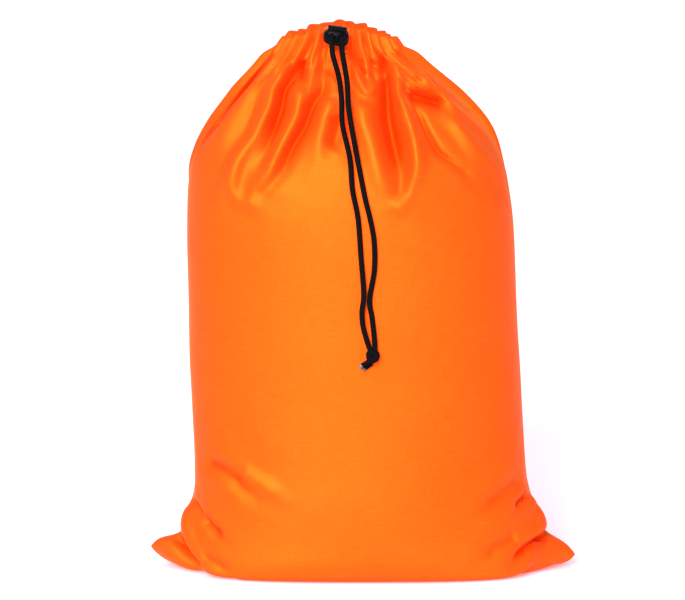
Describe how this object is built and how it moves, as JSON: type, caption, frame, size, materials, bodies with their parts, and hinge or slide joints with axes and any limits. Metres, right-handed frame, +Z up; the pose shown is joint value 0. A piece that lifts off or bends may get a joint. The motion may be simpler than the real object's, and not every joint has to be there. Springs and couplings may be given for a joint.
{
  "type": "stuff sack",
  "caption": "Standing drawcord stuff sack with two sewn panels, corner ears, a drawn channel mouth, a knotted drawcord and a sprung twin-hole cord lock.",
  "frame": {"origin": "on the floor, below the middle of the base", "axes": "+Z up through the mouth, the front with the cord lock faces -Y, +X towards the right ear"},
  "size_m": [0.3928, 0.2125, 0.5078],
  "materials": {
    "orange_cloth": "fine plain weave with a slight satin sheen",
    "orange_thread": "spun sewing thread",
    "black_cord": "braided",
    "sealed_cord": "melted cord end",
    "black_plastic": "moulded gloss",
    "spring_steel": "drawn wire"
  },
  "bodies": {
    "sack": {"front_panel": "orange_cloth", "back_panel": "orange_cloth", "side_seam_thread_right": "orange_thread", "side_seam_thread_left": "orange_thread", "bottom_seam_thread": "orange_thread", "channel_stitching_front": "orange_thread", "channel_stitching_back": "orange_thread", "buttonhole_stitching_left": "orange_thread", "buttonhole_stitching_right": "orange_thread", "drawcord_in_channel": "black_cord", "cord_tail_left": "black_cord", "cord_tail_right": "black_cord", "cord_knot": "black_cord", "cord_tip_left": "sealed_cord", "cord_tip_right": "sealed_cord"},
    "lock": {"cord_lock_body": "black_plastic", "cord_lock_spring": "spring_steel"},
    "button": {"cord_lock_button": "black_plastic"}
  },
  "joints": [
    {"name": "lock_slide", "type": "slide", "parent": "sack", "child": "lock", "axis": [0, -0.9903, -0.1392], "range_m": [0, 0.012]},
    {"name": "button_press", "type": "slide", "parent": "lock", "child": "button", "axis": [-0.1392, 0.1378, -0.9806], "range_m": [0, 0.0024], "stiffness_N_per_m": 1200, "springref_m": -0.002, "deforming": ["cord_lock_spring"]}
  ]
}
